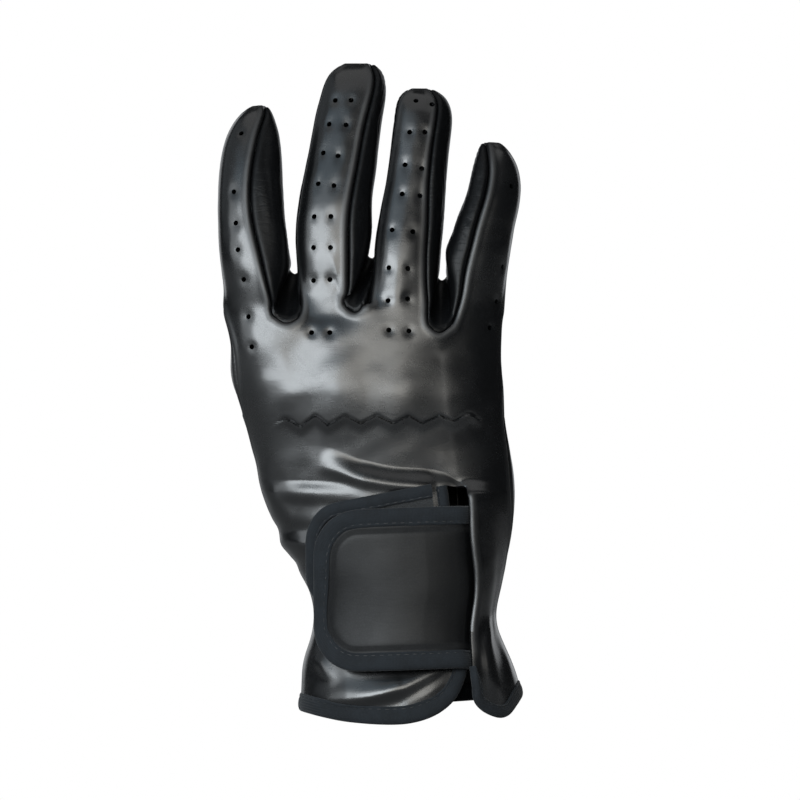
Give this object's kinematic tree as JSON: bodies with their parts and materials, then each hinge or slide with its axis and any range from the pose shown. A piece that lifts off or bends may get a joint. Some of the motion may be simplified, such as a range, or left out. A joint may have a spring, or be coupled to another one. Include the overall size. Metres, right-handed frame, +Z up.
{
  "type": "leather riding and driving glove",
  "caption": "Hollow black leather glove for the right hand, as worn, with a wrist slit closed by a wide tape-bound hook-and-loop tab.",
  "frame": {"origin": "centre of the wrist opening, at the height of the hem", "axes": "+Z up from the wrist to the fingertips, -Y out of the back of the hand, +X towards the little finger, millimetre source stored in metres"},
  "size_m": [0.099, 0.0674, 0.2146],
  "materials": {
    "back_leather": "smooth black leather, soft sheen",
    "palm_leather": "smooth black leather, a little duller",
    "side_leather": "smooth black leather, soft sheen",
    "tab_leather": "smooth black leather, lightly grained",
    "edge_tape": "matt woven tape, blue black",
    "loop_pile": "matt looped pile"
  },
  "bodies": {
    "root": {"back_panel": "back_leather", "palm_panel": "palm_leather", "side_strip_index_middle": "side_leather", "side_strip_middle_ring": "side_leather", "side_strip_ring_little": "side_leather", "thumb": "palm_leather", "hem_tape": "edge_tape", "loop_patch": "loop_pile", "loop_patch_tape": "edge_tape", "closure_tab": "tab_leather", "closure_tab_tape": "edge_tape"}
  },
  "joints": []
}
